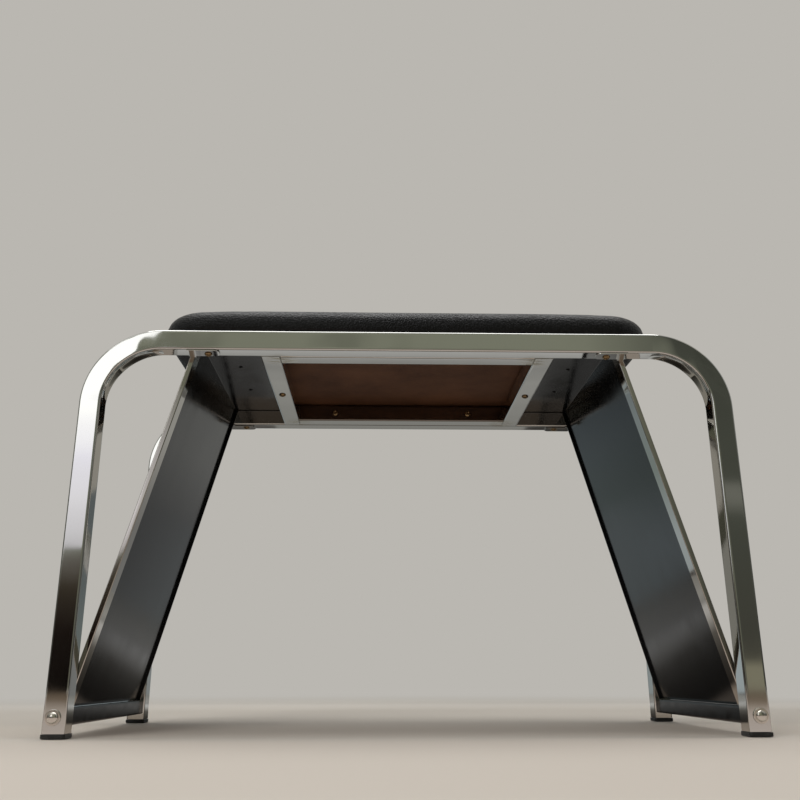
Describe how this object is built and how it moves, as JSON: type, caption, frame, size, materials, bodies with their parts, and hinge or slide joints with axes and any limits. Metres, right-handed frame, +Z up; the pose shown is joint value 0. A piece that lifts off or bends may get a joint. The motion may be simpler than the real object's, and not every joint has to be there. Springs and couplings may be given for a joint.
{
  "type": "shoe fitting bench",
  "caption": "Low padded bench for trying on shoes: black leatherette seat on bent chrome square-tube arches, with sloped mirror panels at both ends.",
  "frame": {"origin": "on the floor, under the middle of the bench", "axes": "+X along the bench to its right end, +Y from front to back, +Z up"},
  "size_m": [0.6312, 0.2964, 0.4072],
  "materials": {
    "polished_tube": "bright chrome-plated square steel tube, polished",
    "mirror_sheet": "mirror-polished stainless sheet with folded edges",
    "black_sheet": "semi-gloss black coated sheet",
    "black_paint": "semi-gloss black paint",
    "foot_plastic": "moulded black plastic, satin",
    "leatherette": "pebble-grained black leatherette, satin",
    "foam": "open-cell seat foam",
    "hardboard": "bare brown hardboard",
    "foot_bolt": "nickel-plated steel, bright",
    "screw": "yellow-passivated steel",
    "plain_steel": "plain zinc-plated steel"
  },
  "bodies": {
    "root": {"front_arch": "polished_tube", "rear_arch": "polished_tube", "seat_frame_left_bar": "polished_tube", "seat_frame_right_bar": "polished_tube", "seat_frame_front_member": "polished_tube", "seat_frame_rear_member": "polished_tube", "ear_front_left": "polished_tube", "ear_front_right": "polished_tube", "ear_rear_left": "polished_tube", "ear_rear_right": "polished_tube", "left_mirror_panel": "mirror_sheet", "right_mirror_panel": "mirror_sheet", "left_backing_sheet": "black_sheet", "right_backing_sheet": "black_sheet", "left_bottom_rail": "black_paint", "right_bottom_rail": "black_paint", "foot_cap_front_left": "foot_plastic", "foot_cap_front_right": "foot_plastic", "foot_cap_rear_left": "foot_plastic", "foot_cap_rear_right": "foot_plastic", "seat_cover": "leatherette", "seat_foam": "foam", "seat_board": "hardboard", "foot_bolt_front_left": "foot_bolt", "foot_bolt_front_right": "foot_bolt", "foot_bolt_rear_left": "foot_bolt", "foot_bolt_rear_right": "foot_bolt", "ear_screw_front_left": "screw", "ear_screw_front_right": "screw", "ear_screw_rear_left": "screw", "ear_screw_rear_right": "screw", "seat_frame_screw_front_left": "screw", "seat_frame_screw_front_right": "screw", "seat_frame_screw_rear_left": "screw", "seat_frame_screw_rear_right": "screw", "seat_screw_left": "screw", "seat_screw_right": "screw", "flange_screw_front_left": "black_paint", "flange_screw_front_right": "black_paint", "flange_screw_rear_left": "black_paint", "flange_screw_rear_right": "black_paint", "rail_insert_front_left": "plain_steel", "rail_insert_front_right": "plain_steel", "rail_insert_rear_left": "plain_steel", "rail_insert_rear_right": "plain_steel"}
  },
  "joints": []
}
